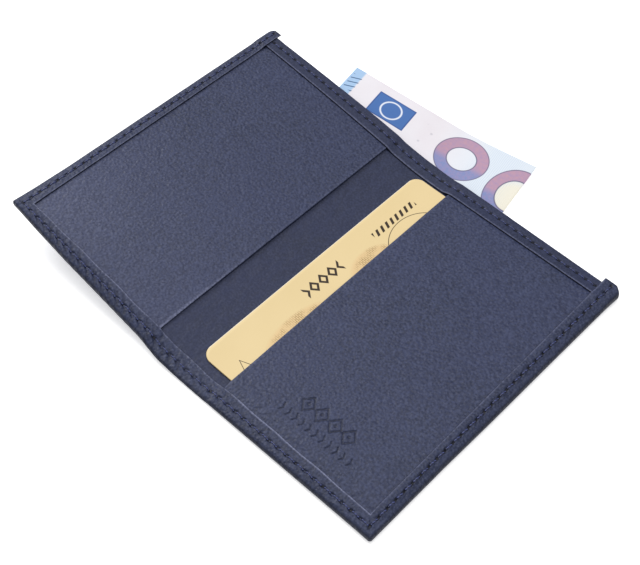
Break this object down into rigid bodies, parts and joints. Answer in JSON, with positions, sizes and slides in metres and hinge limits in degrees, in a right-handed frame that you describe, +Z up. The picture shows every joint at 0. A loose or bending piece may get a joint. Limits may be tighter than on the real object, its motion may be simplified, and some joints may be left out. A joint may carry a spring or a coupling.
{
  "type": "bifold wallet",
  "caption": "Open bifold leather wallet with turned, stitched hems, facing card pockets and a note compartment, holding a plain card and a folded banknote; its panels close about the fold.",
  "frame": {"origin": "middle of the open wallet's bounding box, on the table it lies on", "axes": "+X across the fold from the raised panel to the flat panel, +Y along the fold to the edge where the banknote stands out, +Z up"},
  "size_m": [0.1344, 0.1218, 0.0146],
  "materials": {
    "cover_leather": "navy full-grain leather, satin, fine pebbled grain",
    "lining_leather": "navy thin lining leather, matte, finer grain",
    "pocket_leather": "navy leather, satin with a soft sheen",
    "sewing_thread": "dark blue bonded sewing thread",
    "card_plastic": "gold-coloured laminated card",
    "note_paper": "printed cotton paper"
  },
  "bodies": {
    "right_panel": {"cover_right": "cover_leather", "lining_right": "lining_leather", "pocket_right": "pocket_leather", "hem_thread_inner_right": "sewing_thread", "hem_thread_outer_right": "sewing_thread", "lining_thread_right": "sewing_thread", "cover_far_thread_right": "sewing_thread"},
    "left_panel": {"cover_left": "cover_leather", "lining_left": "lining_leather", "pocket_left": "pocket_leather", "hem_thread_inner_left": "sewing_thread", "hem_thread_outer_left": "sewing_thread", "lining_thread_left": "sewing_thread", "cover_far_thread_left": "sewing_thread"},
    "card": {"payment_card": "card_plastic"},
    "note_right": {"banknote_right": "note_paper"},
    "note_left": {"banknote_left": "note_paper"}
  },
  "joints": [
    {"name": "wallet_fold", "type": "hinge", "parent": "right_panel", "child": "left_panel", "pos_m": [-0.00018, -0.0111, 0.00408], "axis": [0, 1, 0], "range_deg": [-9.6, 170.4]},
    {"name": "card_slide", "type": "slide", "parent": "right_panel", "child": "card", "axis": [-1, 0, 0], "range_m": [-0.009, 0.0013]},
    {"name": "note_slide", "type": "slide", "parent": "right_panel", "child": "note_right", "axis": [0, 1, 0], "range_m": [-0.036, 0.062]},
    {"name": "note_fold", "type": "hinge", "parent": "note_right", "child": "note_left", "pos_m": [-0.00018, -0.0111, 0.00408], "axis": [0, 1, 0], "range_deg": [-9.6, 170.4]}
  ],
  "couplings": [
    {"joint": "note_fold", "follows": "wallet_fold", "ratio": 1}
  ]
}
